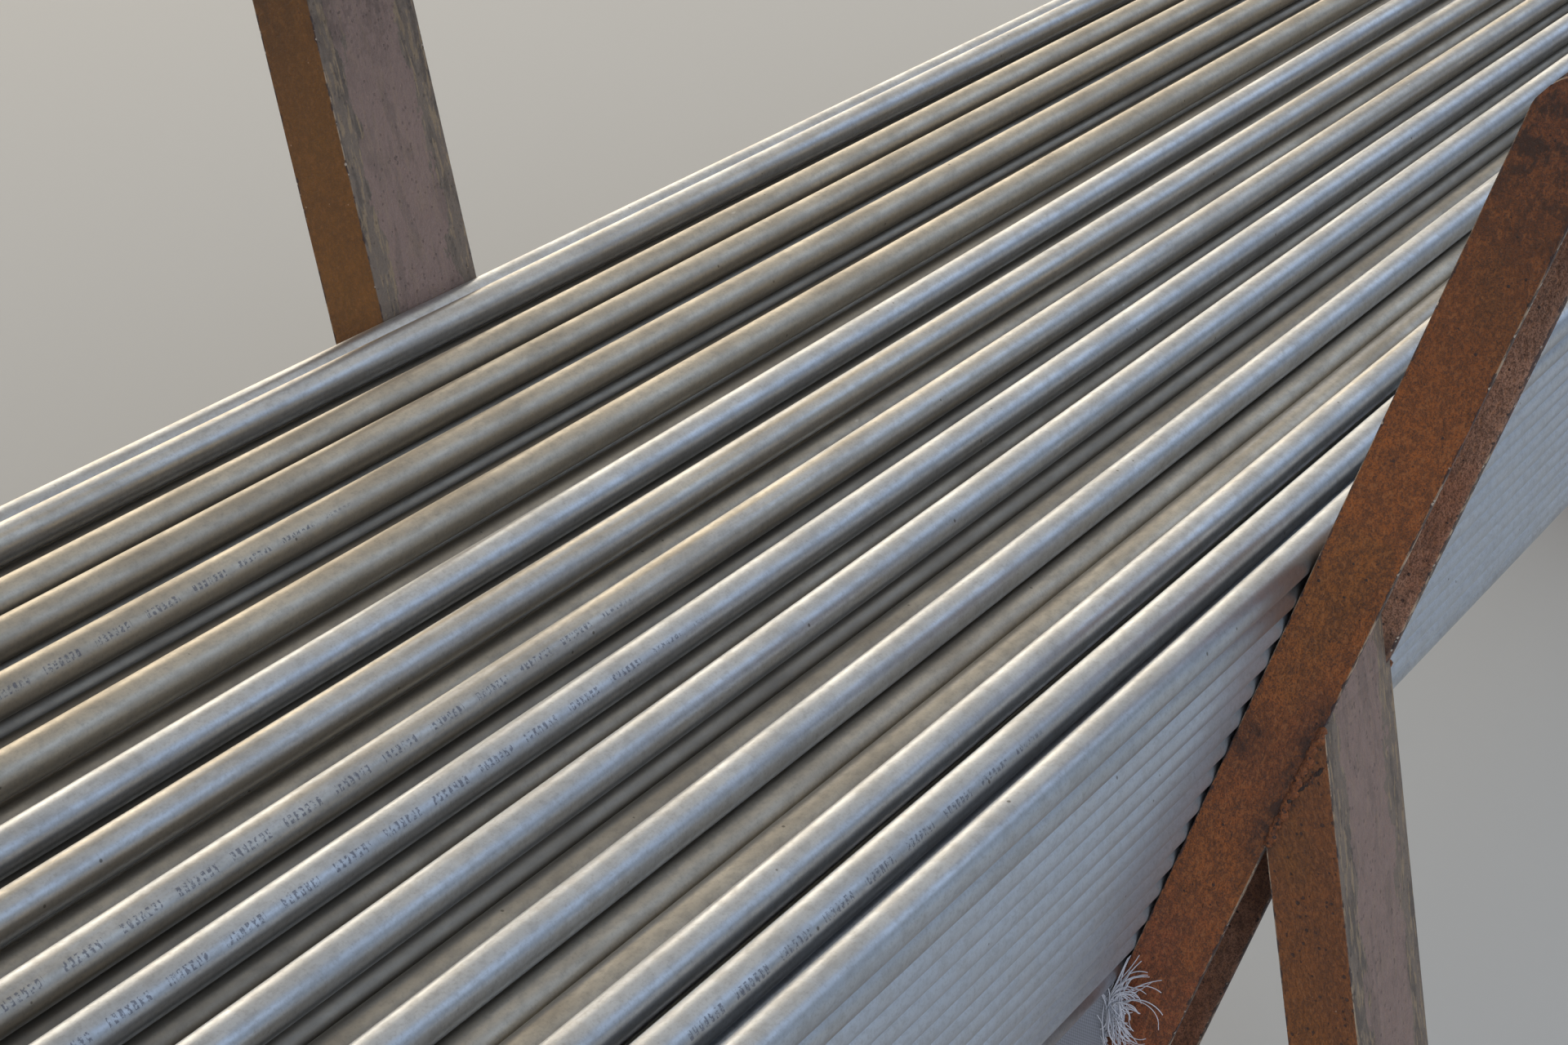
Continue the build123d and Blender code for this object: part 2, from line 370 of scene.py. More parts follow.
def tube_material(settings):
    """Pickled nickel alloy: long soft streaks under a cloudy film, fine dust whose blue-grey tint is painted
    cool light, faint bands round the tube, mottling, small spots, pale scuffs and rows of plain ink dashes,
    and painted shade on the upper row under the loose tubes."""
    if "pickled_tubes" in bpy.data.materials:
        return bpy.data.materials["pickled_tubes"]
    material, tree, shader = new_material("pickled_tubes")
    place = attribute(tree, "tube_place", "Vector")
    tone = attribute(tree, "tube_tone")
    dust = attribute(tree, "tube_dust")
    streaks = noise(tree, place, (1.6, 90.0, 90.0), 3.0)
    cloud = noise(tree, place, (13.0, 62.0, 62.0), 5.0, 0.55)
    dents = noise(tree, place, (58.0, 105.0, 105.0), 3.0, 0.6)
    pickle = noise(tree, place, (520.0, 520.0, 520.0), 3.0, 0.6)
    bands = noise(tree, place, (17.0, 0.4, 0.4), 1.0)
    mottle = noise(tree, place, (105.0, 170.0, 170.0), 4.0, 0.62)
    spots = specks(tree, place, 90.0, 0.14, 0.12)
    scuffs = specks(tree, scaled(tree, place, (0.35, 1.0, 1.0)), 60.0, 0.12, 0.07)
    printed = print_mask(tree, place, pickle)
    clean = mix_colour(tree, ramp(tree, cloud, 0.30, 0.75), settings.pale, settings.dull)
    filmed = mix_colour(tree, ramp(tree, cloud, 0.25, 0.85), settings.film, settings.stain)
    brown = calculate(tree, "MULTIPLY_ADD", calculate(tree, "SUBTRACT", streaks, 0.5), 1.1, tone)
    base = layered(
        tree,
        mix_colour(tree, ramp(tree, brown, 0.30, 0.70), clean, filmed),
        # Tone past 0.9 is painted shade: it darkens the upper row, which lies in the gaps under the loose
        # tubes
        (ramp(tree, tone, 0.9, 1.4, 0.0, 0.7), (0.18, 0.16, 0.135)),
        # Pale dust on the right column, its blue-grey tint painted cool light from the right
        (fade(tree, dust, 0.6), (0.47, 0.51, 0.57)),
        (fade(tree, ramp(tree, bands, 0.5, 0.52), 0.12), settings.stain),
        (ramp(tree, mottle, 0.44, 0.66, 0.0, 0.20), (0.27, 0.26, 0.25)),
        (ramp(tree, pickle, 0.45, 0.75, 0.0, 0.22), (0.20, 0.185, 0.17)),
        (fade(tree, spots, 0.7), (0.10, 0.085, 0.07)),
        (fade(tree, scuffs, 0.45), (0.80, 0.78, 0.74)),
        (fade(tree, printed, 0.65), settings.ink),
    )
    tree.links.new(base, shader.inputs["Base Color"])
    bare = calculate(tree, "MULTIPLY_ADD", dust, -0.38, 0.97)
    tree.links.new(calculate(tree, "MULTIPLY_ADD", printed, -0.5, bare), shader.inputs["Metallic"])
    rough = ramp(tree, cloud, 0.3, 0.7, 0.34, 0.42)
    rough = calculate(tree, "ADD", rough, ramp(tree, tone, 0.3, 0.8, 0.0, 0.08))
    rough = calculate(tree, "ADD", rough, ramp(tree, mottle, 0.40, 0.66, 0.0, 0.05))
    tree.links.new(rough, shader.inputs["Roughness"])
    bump(tree, shader, calculate(tree, "ADD", fade(tree, pickle, 0.18), dents), 0.09, 0.55 * MM)
    return material


def rust_colour(tree, place, drift, settings):
    """Orange, red and ochre rust, with the mustard skin over it and paler pink-brown rust inside the hollow,
    which is painted light on faces that lie in shade.
    """
    patches = noise(tree, place, (7.0, 7.0, 3.0), 4.0)
    # Paler rust inside the hollow: painted light on faces that the lamps leave in shade
    inner = mix_colour(tree, ramp(tree, drift, 0.45, 0.62), (0.46, 0.245, 0.16), (0.38, 0.17, 0.10))
    return layered(
        tree,
        mix_colour(tree, ramp(tree, patches, 0.42, 0.62), settings.orange, settings.red),
        (ramp(tree, drift, 0.52, 0.72, 0.0, 0.55), settings.ochre),
        (fade(tree, attribute(tree, "mustard"), 0.75), settings.mustard),
        (attribute(tree, "inside"), inner),
    )


def web_colour(tree, place, gap, settings):
    """Faded paint on a web's back: worn in ragged bands along its edges, with dark scars and flecks of
    rust that gather in those bands."""
    streaky = noise(tree, place, (210.0, 210.0, 42.0), 4.0, 0.64)
    blotches = noise(tree, place, (75.0, 75.0, 17.0), 5.0, 0.62)
    worn = ragged_edge(tree, gap, 24 * MM, 60 * MM, place, (62.0, 62.0, 26.0))
    scars = fade(tree, ramp(tree, blotches, 0.50, 0.60), ramp(tree, worn, 0.0, 1.0, 0.3, 0.75))
    flecks = fade(tree, ramp(tree, streaky, 0.52, 0.60), ramp(tree, worn, 0.0, 1.0, 0.16, 0.75))
    return layered(
        tree,
        mix_colour(tree, fade(tree, worn, 0.9), settings.faded, settings.worn),
        (scars, (0.105, 0.085, 0.070)),
        (flecks, (0.36, 0.26, 0.16)),
    )


def rack_material(settings):
    """Rust and old paint: orange, red and ochre patches under a fine pitted skin, with painted shade in the
    skin's hollows and a painted highlight on its ridges, smooth mustard rust on the left arms, faded webs
    with worn bands along their edges, soot at the welds and painted shade near the arms' tops, rubbed
    corners that are paler also as a painted edge highlight, dark chips on the flanges' toes and bare dark
    pits."""
    if "rusty_channel" in bpy.data.materials:
        return bpy.data.materials["rusty_channel"]
    material, tree, shader = new_material("rusty_channel")
    place = attribute(tree, "member_place", "Vector")
    back = attribute(tree, "web_back")
    gap = attribute(tree, "edge_gap")
    soot = attribute(tree, "soot")
    mustard = attribute(tree, "mustard")
    drift = noise(tree, scaled(tree, place, (1.0, 1.0, 0.6)), (13.0, 13.0, 13.0), 4.0)
    peel = noise(tree, place, (360.0, 360.0, 240.0), 3.0, 0.62)
    grain = noise(tree, place, (820.0, 820.0, 700.0), 3.0, 0.7)
    tangle = noise(tree, place, (95.0, 95.0, 70.0), 5.0, 0.68)
    rust = rust_colour(tree, place, drift, settings)
    web = web_colour(tree, place, gap, settings)
    rusty = calculate(tree, "MULTIPLY_ADD", back, -0.65, 1.0)
    skin = fade(tree, rusty, calculate(tree, "MULTIPLY_ADD", mustard, -0.5, 1.0))
    level = calculate(tree, "ABSOLUTE", calculate(tree, "SUBTRACT", peel, 0.47))
    strokes = fade(tree, ramp(tree, level, 0.006, 0.028, 1.0, 0.0), ramp(tree, tangle, 0.40, 0.52))
    pits = specks(tree, place, 250.0, 0.44, 0.20)
    pitted = fade(tree, fade(tree, pits, 0.85), ramp(tree, skin, 0.0, 1.0, 0.25, 1.0))
    glints = specks(tree, place, 170.0, 0.14, 0.10)
    # Soot at the welds and painted shade at the arms' tops, broken up by noise
    smudge = fade(tree, soot, ramp(tree, tangle, 0.42, 0.56, 1.0, 0.3))
    # Paler corners: rubbed paint, and also a painted edge highlight
    on_corner = ramp(tree, gap, 0.3 * MM, 1.0 * MM, 1.0, 0.0)
    rubbed = fade(tree, on_corner, ramp(tree, drift, 0.46, 0.54))
    chips = ragged_edge(tree, gap, 0.5 * MM, 10.0 * MM, place, (200.0, 200.0, 80.0))
    flakes = fade(tree, chips, specks(tree, place, 330.0, 0.5, 0.22))
    base = layered(
        tree,
        mix_colour(tree, back, rust, web),
        (fade(tree, ramp(tree, tangle, 0.36, 0.62, 0.0, 0.35), skin), (0.10, 0.042, 0.018)),
        (fade(tree, ramp(tree, grain, 0.40, 0.54, 0.62, 0.0), skin), (0.045, 0.020, 0.011)),
        # Painted shade in the skin's low hollows and a painted highlight on its ridges
        (fade(tree, ramp(tree, peel, 0.33, 0.47, 0.5, 0.0), skin), (0.055, 0.022, 0.010)),
        (fade(tree, ramp(tree, peel, 0.53, 0.68, 0.0, 0.34), skin), (0.42, 0.175, 0.065)),
        (fade(tree, fade(tree, strokes, 0.7), skin), settings.scale),
        (pitted, settings.scale),
        (fade(tree, glints, 0.7), (0.60, 0.42, 0.30)),
        (ramp(tree, tangle, 0.66, 0.72, 0.0, 0.75), settings.scale),
        (smudge, (0.035, 0.019, 0.014)),
        (fade(tree, rubbed, 0.75), (0.52, 0.40, 0.28)),
        (fade(tree, chips, 0.85), (0.035, 0.022, 0.024)),
        (fade(tree, flakes, 0.8), (0.62, 0.52, 0.42)),
    )
    tree.links.new(base, shader.inputs["Base Color"])
    tree.links.new(ramp(tree, grain, 0.3, 0.7, 0.50, 0.78), shader.inputs["Roughness"])
    height = calculate(tree, "ADD", peel, fade(tree, tangle, 0.7))
    height = calculate(tree, "ADD", height, fade(tree, pits, -0.6))
    height = calculate(tree, "ADD", height, fade(tree, grain, 0.45))
    bump(tree, shader, height, 0.9, 1.5 * MM)
    return material


def strip_material(settings):
    """Grey webbing: ribs along the strip crossed by a finer weft, with soiled patches."""
    if "woven_strip" in bpy.data.materials:
        return bpy.data.materials["woven_strip"]
    material, tree, shader = new_material("woven_strip")
    uv = add_node(tree, "ShaderNodeUVMap", uv_map="cloth").outputs["UV"]
    parts = add_node(tree, "ShaderNodeSeparateXYZ", {0: uv})
    warp = calculate(tree, "SINE", fade(tree, parts.outputs[0], 2 * math.pi / settings.rib))
    weft = calculate(tree, "SINE", fade(tree, parts.outputs[1], 2 * math.pi / (0.6 * settings.rib)))
    weave = calculate(tree, "MULTIPLY_ADD", calculate(tree, "ADD", warp, weft), 0.25, 0.5)
    soil = noise(tree, uv, (18.0, 18.0, 1.0), 4.0)
    shaded = [0.6 * part for part in settings.yarn]
    base = mix_colour(tree, weave, shaded, settings.yarn)
    base = mix_colour(tree, ramp(tree, soil, 0.5, 0.8, 0.0, 0.5), base, (0.13, 0.125, 0.125))
    tree.links.new(base, shader.inputs["Base Color"])
    shader.inputs["Roughness"].default_value = 0.86
    shader.inputs["Sheen Weight"].default_value = 0.2
    bump(tree, shader, weave, 0.5, 0.6 * MM)
    return material


def fray_material(settings):
    """Loose threads: grey where they leave the cloth and pale at their ends."""
    if "frayed_yarn" in bpy.data.materials:
        return bpy.data.materials["frayed_yarn"]
    material, tree, shader = new_material("frayed_yarn")
    end = attribute(tree, "thread_end")
    base = mix_colour(tree, ramp(tree, end, 0.1, 0.8), settings.yarn, settings.fray)
    tree.links.new(base, shader.inputs["Base Color"])
    shader.inputs["Roughness"].default_value = 0.7
    shader.inputs["Sheen Weight"].default_value = 0.3
    return material


# Layout of the bundle, by the same rules as the frame's nodes

REFERENCE_HEIGHT = 0.580
TROUGH_HALF_WIDTH = 0.3178
STRUT_HALF_SPREAD = 0.421
ARM_TOP = 1.150
ARM_CORNER_RADIUS = 0.038
COLUMN_COUNT = 12
# Share of the width between the arms at which a loose tube lies, and how far its end drifts in millimetres
LOOSE_TUBES = (
    (-0.0085, 0.0),
    (0.0391, -2.0),
    (0.0909, -3.0),
    (0.1985, 1.0),
    (0.2922, 3.0),
    (0.3659, -10.0),
    (0.4359, -5.0),
    (0.5187, -4.0),
    (0.5846, 4.0),
    (0.6654, 8.0),
    (0.7520, 0.5),
    (0.8209, 5.0),
    (0.8723, 8.0),
    (0.9507, 3.0),
    (1.0052, 0.0),
)
# Which of them carry a line of print
INKED_TUBES = (1, 5, 6, 10)


def trough_half(height, lean):
    """Half the width between the arms' backs: it grows with the height by the tangent of the lean."""
    return TROUGH_HALF_WIDTH + (height - REFERENCE_HEIGHT) * math.tan(lean)


def strut_half(height, lean):
    """Half the spread of the struts' backs: it shrinks with the height by the tangent of the lean."""
    return STRUT_HALF_SPREAD - (height - REFERENCE_HEIGHT) * math.tan(lean)


class BundleLayout:
    """Centres of all the tubes, each a pair of sideways place and height"""

    def __init__(self, tubes, rack):
        self.radius = tubes.outer / 2
        self.pitch = tubes.outer + tubes.gap
        self.lean = rack.arm_lean
        self.seat = (self.radius + tubes.gap) / math.cos(self.lean)
        self.bottom = node_span("bottom_row_tubes", 2)[0] + self.radius
        heights = self.bottom + np.arange(COLUMN_COUNT + 2) * self.pitch * math.cos(self.lean)
        self.top = heights[-1]
        self.bottom_row = self.row(self.bottom, False)
        self.upper_row = self.row(self.top, True)
        self.right_column = self.column(-1.0, heights[1:-1])
        self.left_column = self.column(1.0, heights[1:-1])
        share, drift = np.array(LOOSE_TUBES).T
        places = self.wall(self.top) * (2 * share - 1)
        self.loose_drift = drift * MM
        heights = [self.rest_height(*pair) for pair in zip(places, self.loose_drift)]
        self.loose = np.stack([places, heights], axis=1)

    def wall(self, height):
        """Sideways place of a tube that lies against an arm."""
        return trough_half(height, self.lean) - self.seat

    def row(self, height, tight):
        """As many tubes as fit side by side between the arms: a tight row is pushed against the right arm
        and keeps its spare room at the left, any other shares it out evenly."""
        seat = self.wall(height)
        spaces = math.floor(2 * seat / self.pitch)
        spacing = self.pitch if tight else 2 * seat / spaces
        places = np.arange(spaces + 1) * spacing - seat
        return np.stack([places, np.full(spaces + 1, height)], axis=1)

    def column(self, side, heights):
        """Tubes one above the other against an arm."""
        return np.stack([side * self.wall(heights), heights], axis=1)

    def rest_height(self, place, drift):
        """Height at which a loose tube touches the upper row: the highest circle of one pitch round the
        row's tubes."""
        nearest = np.maximum(np.abs(self.upper_row[:, 0] - place) - abs(drift), 0.0)
        under = nearest < self.pitch
        return float(np.max(self.upper_row[under, 1] + np.sqrt(self.pitch**2 - nearest[under] ** 2)))

    def inner(self):
        """Centres of the hidden tubes: a loose triangular lattice that settles. In each step every tube
        moves half of each overlap away from its neighbours, and sinks a little in the first steps."""
        outer = np.vstack([self.bottom_row, self.upper_row, self.right_column, self.left_column])
        step = self.pitch * 1.0234
        first = self.bottom + self.pitch * 0.93
        margin = self.pitch * 0.8
        rows, columns = np.meshgrid(np.arange(18), np.arange(-24, 25), indexing="ij")
        across = (columns + 0.5 * (rows % 2) + 0.25) * step
        height = first + rows * step * math.sqrt(0.75)
        spots = np.stack([across.ravel(), height.ravel()], axis=1)
        inside = np.abs(spots[:, 0]) < self.wall(spots[:, 1]) - margin
        spots = spots[inside & (spots[:, 1] < self.top - margin)]
        itself = np.eye(len(spots)) * 1.0e3
        steps, sinking, sink, settle = 420, 252, 0.02 * MM, 0.45
        for number in range(steps):
            spots[:, 1] -= sink if number < sinking else 0.0
            move = self.push(spots, spots, itself, 0.5) + self.push(spots, outer, 0.0, 1.0)
            spots = spots + settle * move
        return spots

    def push(self, spots, others, extra, share):
        """How far the others push each tube: the sum of a share of every overlap, away from its owner. The
        extra distance keeps a tube from pushing itself."""
        away = spots[:, None] - others[None]
        gap = np.linalg.norm(away, axis=-1) + extra
        return (away * (share * np.maximum(self.pitch - gap, 0.0) / gap)[..., None]).sum(axis=1)


def tube_profile(settings, stations):
    """Closed outline of a tube's wall, as distance along the tube and radius: out along the outside,
    round the eased rim, back along the bore and round the other rim."""
    half = settings.run / 2
    outer = settings.outer / 2
    bore = outer - settings.wall
    ease, mouth = 0.35 * MM, 200 * MM
    along = np.linspace(-half + ease, half - ease, stations)
    outside = np.stack([along, np.full(stations, outer)], axis=1)
    far_rim = [(half, outer - ease), (half, bore + ease)]
    inside = [(half - ease, bore), (half - mouth, bore), (-half + mouth, bore), (-half + ease, bore)]
    near_rim = [(-half, bore + ease), (-half, outer - ease)]
    return np.vstack([outside, far_rim, inside, near_rim])


# The print comes back along a tube after the period, and each stretch of it has the half length
PRINT_PERIOD = 3.0
PRINT_SHIFT = 2.4
PRINT_HALF_LENGTH = 0.5
# Limits of the print's turn round the tube, in radians from the left side, and half its width
PRINT_TURNS = (2.35, 2.65)
PRINT_HALF_WIDTH = 0.2
# Towards the right arm the tubes' film and painted shade fade, from this far beside the bundle's middle to
# twice as far
CLEANER_FROM = 0.16


def window(distance, half):
    """A band with soft sides: 1.6 less the distance from its middle over its half width, kept within
    nothing and one."""
    return np.clip(1.6 - distance / half, 0.0, 1.0)


def tubes_piece(
    node, settings, centres, seed, *, sides, stations, tones, dust=0.0, drift=0.0, bow=0.0, inked=()
):
    """All the tubes of one group: each is its profile turned round its own line. The line leans by the
    drift, and bends by a sine of its length. The tone limits bound how brown a tube's film is, and past 0.9
    how dark its painted shade is. The dust is the share of pale dust on the group, whose blue-grey tint is
    painted cool light, and the inked tubes carry a line of print."""
    generator = np.random.default_rng(seed)
    profile = tube_profile(settings, stations)
    turn = np.arange(sides) * 2 * math.pi / sides
    count, half = len(centres), settings.run / 2
    along, radius = profile[:, 0], profile[:, 1]
    share = along[None] / half
    phase = generator.uniform(0, 2 * math.pi, (count, 1))
    waves = generator.uniform(0.8, 1.9, (count, 1))
    bend = bow * np.sin(share * math.pi * waves + phase)
    lean = np.broadcast_to(drift, count)[:, None] * share
    centre_y = centres[:, :1] + lean + bend
    centre_z = centres[:, 1:] + np.abs(bend) * 0.4
    local_y = radius[:, None] * np.cos(turn)
    local_z = radius[:, None] * np.sin(turn)
    shape = (count, len(profile), sides)
    x = np.broadcast_to(along[None, :, None], shape)
    points = np.stack([x, centre_y[..., None] + local_y, centre_z[..., None] + local_z], axis=-1)
    faces = []
    for number in range(count):
        faces += grid_faces(len(profile), sides, True, True, number * len(profile) * sides)
    piece = add_mesh(node + "_wall", points, faces, tube_material(settings), (node,))
    shift = generator.uniform(0, 40, (count, 1, 1))
    local = [np.broadcast_to(part, shape) for part in (local_y, local_z)]
    point_attribute(piece, "tube_place", np.stack([x + shift, *local], axis=-1).reshape(-1, 3))
    near_right = np.clip((centres[:, 0] + CLEANER_FROM) / -CLEANER_FROM, 0.0, 1.0)
    tone = generator.uniform(*tones, count) * (1 - 0.8 * near_right)
    point_attribute(piece, "tube_tone", np.broadcast_to(tone[:, None, None], shape).ravel())
    point_attribute(piece, "tube_dust", np.full(points.size // 3, dust))
    line = np.full((count, 1), np.inf)
    line[list(inked), 0] = generator.uniform(*PRINT_TURNS, len(inked))
    band = window(np.abs(turn[None] - line), PRINT_HALF_WIDTH)[:, None]
    from_middle = np.abs((along + PRINT_SHIFT) % PRINT_PERIOD - PRINT_PERIOD / 2)
    printed = window(from_middle, PRINT_HALF_LENGTH)[None, :, None]
    point_attribute(piece, "ink_band", (band * printed).ravel())


class OBJECT_OT_outer_tubes(bpy.types.Operator):
    """Make the tubes that show: the bottom row, both columns, the upper row and the loose ones"""

    bl_idname = "object.outer_tubes"
    bl_label = "Outer tubes"

    def execute(self, context):
        settings = context.scene.tube_settings
        layout = BundleLayout(settings, context.scene.rack_settings)
        # Each group's centres, tone limits and dust share. Tones past 0.9 paint shade on the upper row,
        # which lies under the loose tubes; the right column's dust carries painted cool light.
        groups = {
            "bottom_row_tubes": (layout.bottom_row, (0.0, 0.4), 0.0),
            "right_column_tubes": (layout.right_column, (0.0, 0.4), 1.0),
            "left_column_tubes": (layout.left_column, (0.0, 0.4), 0.0),
            "upper_row_tubes": (layout.upper_row, (1.1, 1.5), 0.0),
        }
        for seed, (node, (centres, tones, dust)) in enumerate(groups.items(), 11):
            tubes_piece(node, settings, centres, seed, sides=36, stations=16, tones=tones, dust=dust)
        tubes_piece(
            "loose_top_tubes",
            settings,
            layout.loose,
            29,
            sides=48,
            stations=40,
            tones=(0.0, 1.0),
            drift=layout.loose_drift,
            bow=settings.bow,
            inked=INKED_TUBES,
        )
        return {"FINISHED"}


class OBJECT_OT_inner_tubes(bpy.types.Operator):
    """Make the hidden tubes, which show only at the bundle's ends"""

    bl_idname = "object.inner_tubes"
    bl_label = "Inner tubes"

    def execute(self, context):
        settings = context.scene.tube_settings
        centres = BundleLayout(settings, context.scene.rack_settings).inner()
        tubes_piece("inner_tubes", settings, centres, 47, sides=20, stations=2, tones=(0.2, 0.9))
        return {"FINISHED"}


# The rack


def channel_outline(settings):
    """Outer and inner lines of the channel's section, point for point opposite each other, from one toe
    round the web to the other. First number along the web, second out from its back."""
    half = settings.depth / 2
    ease = 1.2 * MM
    quarter = np.linspace(0, math.pi / 2, 5)
    down = np.linspace(settings.width, ease, 12)
    across = np.linspace(-half + ease, half - ease, 20)
    corner = np.stack([-half + ease - ease * np.cos(quarter), ease - ease * np.sin(quarter)], axis=1)
    flank = np.stack([np.full(12, -half), down], axis=1)
    back = np.stack([across, np.zeros(20)], axis=1)
    mirror = np.array((-1.0, 1.0))
    outer = np.vstack([flank[:-1], corner, back[1:-1], corner[::-1] * mirror, flank[:-1][::-1] * mirror])
    hollow = half - settings.flange
    turn = np.linspace(0, math.pi / 2, 4)
    toe_centre = [-hollow - settings.toe, settings.width - settings.toe]
    toe = toe_centre + settings.toe * np.stack([np.sin(turn), np.cos(turn)], axis=1)
    down = np.linspace(settings.width - settings.toe, settings.web + settings.root, 9)[1:-1]
    flank = np.stack([np.full(7, -hollow), down], axis=1)
    root_centre = [-hollow + settings.root, settings.web + settings.root]
    root = root_centre - settings.root * np.stack([np.cos(quarter), np.sin(quarter)], axis=1)
    across = np.linspace(-hollow + settings.root, hollow - settings.root, 20)
    front = np.stack([across, np.full(20, settings.web)], axis=1)
    half_line = np.vstack([toe, flank, root])
    inner = np.vstack([half_line, front[1:-1], half_line[::-1] * mirror])
    return outer, inner


def tongue_outline(settings):
    """The same two lines for a web without flanges: a flat plate that fits between the flanges."""
    half = settings.depth / 2 - settings.flange
    across = np.linspace(-half, half, 20)
    plate = [np.stack([across, np.full(20, depth)], axis=1) for depth in (0.0, settings.web)]
    return tuple(plate)


def clean(loop, reach):
    """No soot and no painted shade anywhere."""
    return np.zeros_like(reach)


class Member:
    """A length of channel: where its back's middle line starts, its direction and where its flanges point"""

    def __init__(self, origin, along, outward):
        self.origin, self.along, self.outward = (np.array(v, dtype=float) for v in (origin, along, outward))
        self.across = np.array((1.0, 0.0, 0.0))

    def start(self, section):
        """Points of the section where the member starts."""
        return self.origin + section[..., :1] * self.across + section[..., 1:] * self.outward

    def reach(self, section, plane):
        """How far along each line of the section meets a plane: the gap to the plane over its slope."""
        point, normal = (np.array(part) for part in plane)
        return ((point - self.start(section)) @ normal) / (self.along @ normal)


def bar_points(member, loop, low, high, stations):
    """Points of a bar: each line of the closed section runs straight from its low end to its high end."""
    share = np.linspace(0.0, 1.0, stations)[:, None]
    reach = low * (1 - share) + high * share
    return member.start(loop)[None] + reach[..., None] * member.along, reach


def capped_faces(stations, size, outer_count):
    """Faces of a bar whose section is an outer line and an inner line back: its sides, and a strip
    between the two lines at each end."""
    faces = grid_faces(stations, size, False, True)
    outer = np.arange(outer_count - 1)
    inner = size - 1 - outer
    top = (stations - 1) * size
    caps = np.stack([outer, outer + 1, inner - 1, inner], axis=1)
    faces += caps.tolist()
    faces += (caps[:, ::-1] + top).tolist()
    return faces


def member_values(settings, loop, reach, outer_count, offset, soot, mustard):
    """What the rack's material reads at each point: the place on the member, whether it is on the web's
    back or inside the hollow, how far the nearest long edge is, how sooty or darkened by painted shade, and
    how yellow it is."""
    stations, size = reach.shape
    place = np.concatenate([np.broadcast_to(loop, (stations, size, 2)), reach[..., None]], axis=-1) + offset
    outside = np.arange(size) < outer_count
    across, depth = loop.T
    back = outside & (depth < 0.5 * MM)
    to_toe = settings.width - depth
    on_flank = np.where(outside, np.minimum(depth, to_toe), to_toe)
    gap = np.where(back, settings.depth / 2 - np.abs(across), on_flank)

    def spread(row):
        return np.broadcast_to(np.asarray(row, dtype=float), (stations, size)).ravel()

    values = {"member_place": place.reshape(-1, 3), "web_back": spread(back), "inside": spread(~outside)}
    return {**values, "edge_gap": spread(gap), "soot": spread(soot(loop, reach)), "mustard": spread(mustard)}


def add_bar(
    shell, settings, member, outline, planes, offset, *, stations, mustard, corner=0.0, soot=clean
):
    """Adds a bar of a section between two end planes. With a corner radius its far end is rounded down
    towards its back: a line at a distance d from the back ends lower by r less the root of r squared less
    (r - d) squared."""
    outer, inner = outline
    loop = np.vstack([outer, inner[::-1]])
    low, high = (member.reach(loop, plane) for plane in planes)
    short = np.clip(corner - loop[:, 1], 0.0, None)
    high = high - (corner - np.sqrt(corner**2 - short**2))
    points, reach = bar_points(member, loop, low, high, stations)
    faces = capped_faces(stations, len(loop), len(outer))
    shell.add(points, faces, **member_values(settings, loop, reach, len(outer), offset, soot, mustard))


class RackFrame:
    """One frame of the rack: its two arms and struts, its beam and its sill"""

    def __init__(self, name, settings):
        self.name, self.settings = name, settings
        self.x = sum(node_span(name + "_floor_sill", 0)) / 2
        self.sill_top = node_span(name + "_floor_sill", 2)[1]
        self.beam_top = node_span(name + "_cross_beam", 2)[1]

    def arm(self, side):
        """The arm on one side."""
        lean = self.settings.arm_lean
        foot = (self.x, side * trough_half(self.sill_top, lean), self.sill_top)
        along = (0.0, side * math.sin(lean), math.cos(lean))
        return Member(foot, along, (0.0, side * math.cos(lean), -math.sin(lean)))

    def strut(self, side):
        """The strut on one side."""
        lean = self.settings.strut_lean
        foot = (self.x, side * strut_half(self.sill_top, lean), self.sill_top)
        along = (0.0, -side * math.sin(lean), math.cos(lean))
        return Member(foot, along, (0.0, -side * math.cos(lean), -math.sin(lean)))

    def beam(self):
        """The cross beam, with its web up."""
        return Member((self.x, 0.0, self.beam_top), (0.0, 1.0, 0.0), (0.0, 0.0, -1.0))

    def sill(self):
        """The floor sill, with its web up."""
        return Member((self.x, 0.0, self.sill_top), (0.0, 1.0, 0.0), (0.0, 0.0, -1.0))

    def joint_line(self, side, face):
        """Ends of the line on one face where a strut's flange meets the arm's toe."""
        arm, strut, width = self.arm(side), self.strut(side), self.settings.width
        across = face * self.settings.depth / 2
        section = np.array([(across, width), (across, 0.0)])
        reach = strut.reach(section, (arm.origin + arm.outward * width, arm.outward))
        return strut.start(section) + reach[:, None] * strut.along

    def arm_end(self, arm):
        """Plane that ends an arm."""
        rise = (ARM_TOP - self.sill_top) / math.cos(self.settings.arm_lean)
        return arm.origin + arm.along * rise, arm.along


